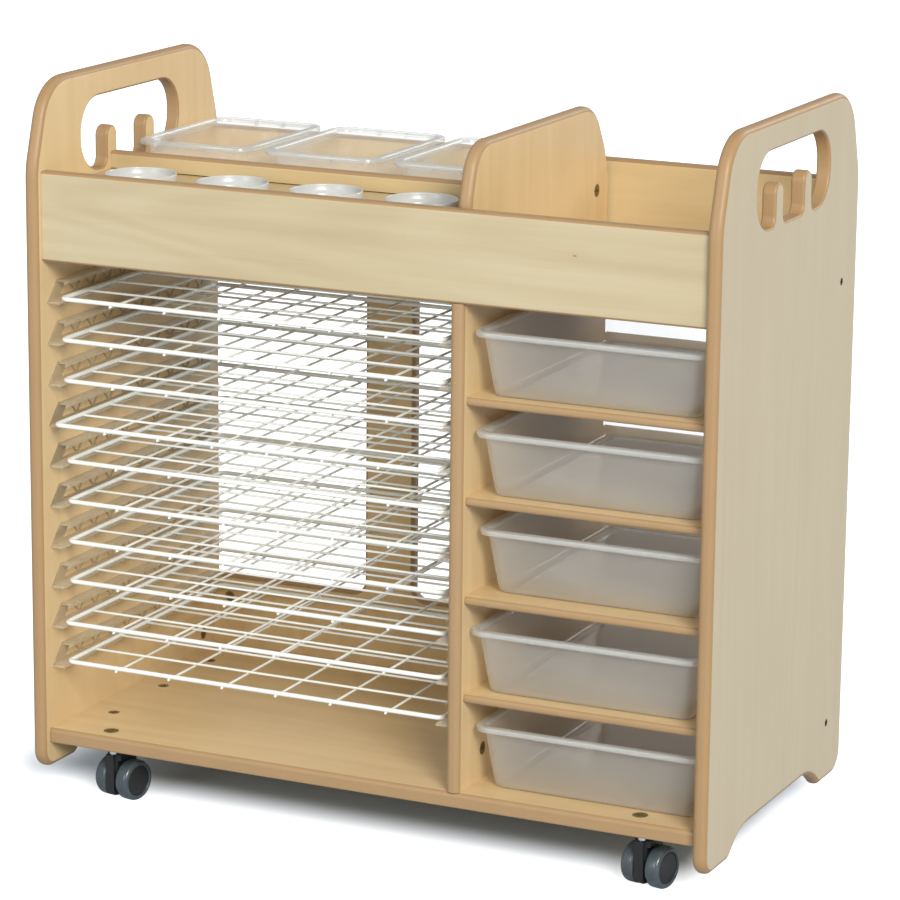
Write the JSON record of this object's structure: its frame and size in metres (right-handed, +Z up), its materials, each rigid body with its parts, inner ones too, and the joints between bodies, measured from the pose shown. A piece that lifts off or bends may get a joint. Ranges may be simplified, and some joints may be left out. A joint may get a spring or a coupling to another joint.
{
  "type": "art storage trolley",
  "caption": "Mobile wooden art trolley with pull-out wire drying racks, translucent trays on shelves, lift-out tubs and pots on top, and handle holes in both ends.",
  "frame": {"origin": "centre of the bounding box's bottom, on the floor under the trolley's middle", "axes": "+X to the right along the width, +Y to the rear, +Z up"},
  "size_m": [0.951, 0.486, 0.9515],
  "materials": {
    "maple_board": "lacquered maple veneer board with browner rounded edges",
    "rack_wire": "white coated steel wire",
    "runner_plastic": "translucent grey moulded plastic",
    "tray_plastic": "frosted translucent plastic",
    "tub_plastic": "clear translucent plastic",
    "pot_plastic": "white plastic",
    "cam_metal": "dull zinc with a brassy tone",
    "screw_metal": "dark",
    "cap_metal": "dull zinc with a brassy tone",
    "stem_chrome": "bright plated",
    "housing_black": "black satin",
    "axle_steel": "plain",
    "wheel_grey": "dark slate grey, smooth"
  },
  "bodies": {
    "trolley": {"left_side_panel": "maple_board", "right_side_panel": "maple_board", "centre_divider": "maple_board", "bottom_shelf": "maple_board", "front_fascia": "maple_board", "back_frame": "maple_board", "top_back_board": "maple_board", "tray_shelf_1": "maple_board", "tray_shelf_2": "maple_board", "tray_shelf_3": "maple_board", "tray_shelf_4": "maple_board", "pot_shelf": "maple_board", "inner_rail": "maple_board", "top_floor_left": "maple_board", "top_floor_right": "maple_board", "runners_left": "runner_plastic", "runners_right": "runner_plastic", "cam_fittings": "cam_metal", "side_screws": "screw_metal", "caster_caps": "cap_metal", "caster_stems": "stem_chrome"},
    "rack_01": {"drying_rack_01": "rack_wire"},
    "rack_02": {"drying_rack_02": "rack_wire"},
    "rack_03": {"drying_rack_03": "rack_wire"},
    "rack_04": {"drying_rack_04": "rack_wire"},
    "rack_05": {"drying_rack_05": "rack_wire"},
    "rack_06": {"drying_rack_06": "rack_wire"},
    "rack_07": {"drying_rack_07": "rack_wire"},
    "rack_08": {"drying_rack_08": "rack_wire"},
    "rack_09": {"drying_rack_09": "rack_wire"},
    "rack_10": {"drying_rack_10": "rack_wire"},
    "tray_1": {"storage_tray_1": "tray_plastic"},
    "tray_2": {"storage_tray_2": "tray_plastic"},
    "tray_3": {"storage_tray_3": "tray_plastic"},
    "tray_4": {"storage_tray_4": "tray_plastic"},
    "tray_5": {"storage_tray_5": "tray_plastic"},
    "tub_1_body": {"tub_1": "tub_plastic"},
    "tub_2_body": {"tub_2": "tub_plastic"},
    "tub_3_body": {"tub_3": "tub_plastic"},
    "paint_pot_1_body": {"paint_pot_1": "pot_plastic"},
    "paint_pot_2_body": {"paint_pot_2": "pot_plastic"},
    "paint_pot_3_body": {"paint_pot_3": "pot_plastic"},
    "paint_pot_4_body": {"paint_pot_4": "pot_plastic"},
    "swivel_front_left": {"caster_housing_front_left": "housing_black", "caster_axle_front_left": "axle_steel"},
    "wheels_front_left": {"caster_wheels_front_left": "wheel_grey"},
    "pedal_front_left": {"caster_pedal_front_left": "housing_black"},
    "swivel_front_right": {"caster_housing_front_right": "housing_black", "caster_axle_front_right": "axle_steel"},
    "wheels_front_right": {"caster_wheels_front_right": "wheel_grey"},
    "pedal_front_right": {"caster_pedal_front_right": "housing_black"},
    "swivel_rear_left": {"caster_housing_rear_left": "housing_black", "caster_axle_rear_left": "axle_steel"},
    "wheels_rear_left": {"caster_wheels_rear_left": "wheel_grey"},
    "pedal_rear_left": {"caster_pedal_rear_left": "housing_black"},
    "swivel_rear_right": {"caster_housing_rear_right": "housing_black", "caster_axle_rear_right": "axle_steel"},
    "wheels_rear_right": {"caster_wheels_rear_right": "wheel_grey"},
    "pedal_rear_right": {"caster_pedal_rear_right": "housing_black"}
  },
  "joints": [
    {"name": "rack_01_slide", "type": "slide", "parent": "trolley", "child": "rack_01", "axis": [0, -1, 0], "range_m": [0, 0.3]},
    {"name": "rack_02_slide", "type": "slide", "parent": "trolley", "child": "rack_02", "axis": [0, -1, 0], "range_m": [0, 0.3]},
    {"name": "rack_03_slide", "type": "slide", "parent": "trolley", "child": "rack_03", "axis": [0, -1, 0], "range_m": [0, 0.3]},
    {"name": "rack_04_slide", "type": "slide", "parent": "trolley", "child": "rack_04", "axis": [0, -1, 0], "range_m": [0, 0.3]},
    {"name": "rack_05_slide", "type": "slide", "parent": "trolley", "child": "rack_05", "axis": [0, -1, 0], "range_m": [0, 0.3]},
    {"name": "rack_06_slide", "type": "slide", "parent": "trolley", "child": "rack_06", "axis": [0, -1, 0], "range_m": [0, 0.3]},
    {"name": "rack_07_slide", "type": "slide", "parent": "trolley", "child": "rack_07", "axis": [0, -1, 0], "range_m": [0, 0.3]},
    {"name": "rack_08_slide", "type": "slide", "parent": "trolley", "child": "rack_08", "axis": [0, -1, 0], "range_m": [0, 0.3]},
    {"name": "rack_09_slide", "type": "slide", "parent": "trolley", "child": "rack_09", "axis": [0, -1, 0], "range_m": [0, 0.3]},
    {"name": "rack_10_slide", "type": "slide", "parent": "trolley", "child": "rack_10", "axis": [0, -1, 0], "range_m": [0, 0.3]},
    {"name": "tray_1_slide", "type": "slide", "parent": "trolley", "child": "tray_1", "axis": [0, -1, 0], "range_m": [0, 0.3]},
    {"name": "tray_2_slide", "type": "slide", "parent": "trolley", "child": "tray_2", "axis": [0, -1, 0], "range_m": [0, 0.3]},
    {"name": "tray_3_slide", "type": "slide", "parent": "trolley", "child": "tray_3", "axis": [0, -1, 0], "range_m": [0, 0.3]},
    {"name": "tray_4_slide", "type": "slide", "parent": "trolley", "child": "tray_4", "axis": [0, -1, 0], "range_m": [0, 0.3]},
    {"name": "tray_5_slide", "type": "slide", "parent": "trolley", "child": "tray_5", "axis": [0, -1, 0], "range_m": [0, 0.3]},
    {"name": "tub_1_lift", "type": "slide", "parent": "trolley", "child": "tub_1_body", "axis": [0, 0, 1], "range_m": [0, 0.15]},
    {"name": "tub_2_lift", "type": "slide", "parent": "trolley", "child": "tub_2_body", "axis": [0, 0, 1], "range_m": [0, 0.15]},
    {"name": "tub_3_lift", "type": "slide", "parent": "trolley", "child": "tub_3_body", "axis": [0, 0, 1], "range_m": [0, 0.15]},
    {"name": "paint_pot_1_lift", "type": "slide", "parent": "trolley", "child": "paint_pot_1_body", "axis": [0, 0, 1], "range_m": [0, 0.12]},
    {"name": "paint_pot_2_lift", "type": "slide", "parent": "trolley", "child": "paint_pot_2_body", "axis": [0, 0, 1], "range_m": [0, 0.12]},
    {"name": "paint_pot_3_lift", "type": "slide", "parent": "trolley", "child": "paint_pot_3_body", "axis": [0, 0, 1], "range_m": [0, 0.12]},
    {"name": "paint_pot_4_lift", "type": "slide", "parent": "trolley", "child": "paint_pot_4_body", "axis": [0, 0, 1], "range_m": [0, 0.12]},
    {"name": "swivel_front_left_turn", "type": "hinge", "parent": "trolley", "child": "swivel_front_left", "pos_m": [-0.376, -0.202, 0.06], "axis": [0, 0, 1], "continuous": true},
    {"name": "wheels_front_left_roll", "type": "hinge", "parent": "swivel_front_left", "child": "wheels_front_left", "pos_m": [-0.37195, -0.18446, 0.027], "axis": [0.9744, -0.225, 0], "continuous": true},
    {"name": "pedal_front_left_press", "type": "hinge", "parent": "swivel_front_left", "child": "pedal_front_left", "pos_m": [-0.36903, -0.1718, 0.056], "axis": [0.9744, -0.225, 0], "range_deg": [-8, 10]},
    {"name": "swivel_front_right_turn", "type": "hinge", "parent": "trolley", "child": "swivel_front_right", "pos_m": [0.376, -0.202, 0.06], "axis": [0, 0, 1], "continuous": true},
    {"name": "wheels_front_right_roll", "type": "hinge", "parent": "swivel_front_right", "child": "wheels_front_right", "pos_m": [0.37974, -0.18439, 0.027], "axis": [0.9781, -0.2079, 0], "continuous": true},
    {"name": "pedal_front_right_press", "type": "hinge", "parent": "swivel_front_right", "child": "pedal_front_right", "pos_m": [0.38244, -0.17168, 0.056], "axis": [0.9781, -0.2079, 0], "range_deg": [-8, 10]},
    {"name": "swivel_rear_left_turn", "type": "hinge", "parent": "trolley", "child": "swivel_rear_left", "pos_m": [-0.376, 0.202, 0.06], "axis": [0, 0, 1], "continuous": true},
    {"name": "wheels_rear_left_roll", "type": "hinge", "parent": "swivel_rear_left", "child": "wheels_rear_left", "pos_m": [-0.38126, 0.18479, 0.027], "axis": [-0.9563, 0.2924, 0], "continuous": true},
    {"name": "pedal_rear_left_press", "type": "hinge", "parent": "swivel_rear_left", "child": "pedal_rear_left", "pos_m": [-0.38506, 0.17236, 0.056], "axis": [-0.9563, 0.2924, 0], "range_deg": [-8, 10]},
    {"name": "swivel_rear_right_turn", "type": "hinge", "parent": "trolley", "child": "swivel_rear_right", "pos_m": [0.376, 0.202, 0.06], "axis": [0, 0, 1], "continuous": true},
    {"name": "wheels_rear_right_roll", "type": "hinge", "parent": "swivel_rear_right", "child": "wheels_rear_right", "pos_m": [0.35827, 0.19887, 0.027], "axis": [-0.1736, 0.9848, 0], "continuous": true},
    {"name": "pedal_rear_right_press", "type": "hinge", "parent": "swivel_rear_right", "child": "pedal_rear_right", "pos_m": [0.34547, 0.19662, 0.056], "axis": [-0.1736, 0.9848, 0], "range_deg": [-8, 10]}
  ]
}
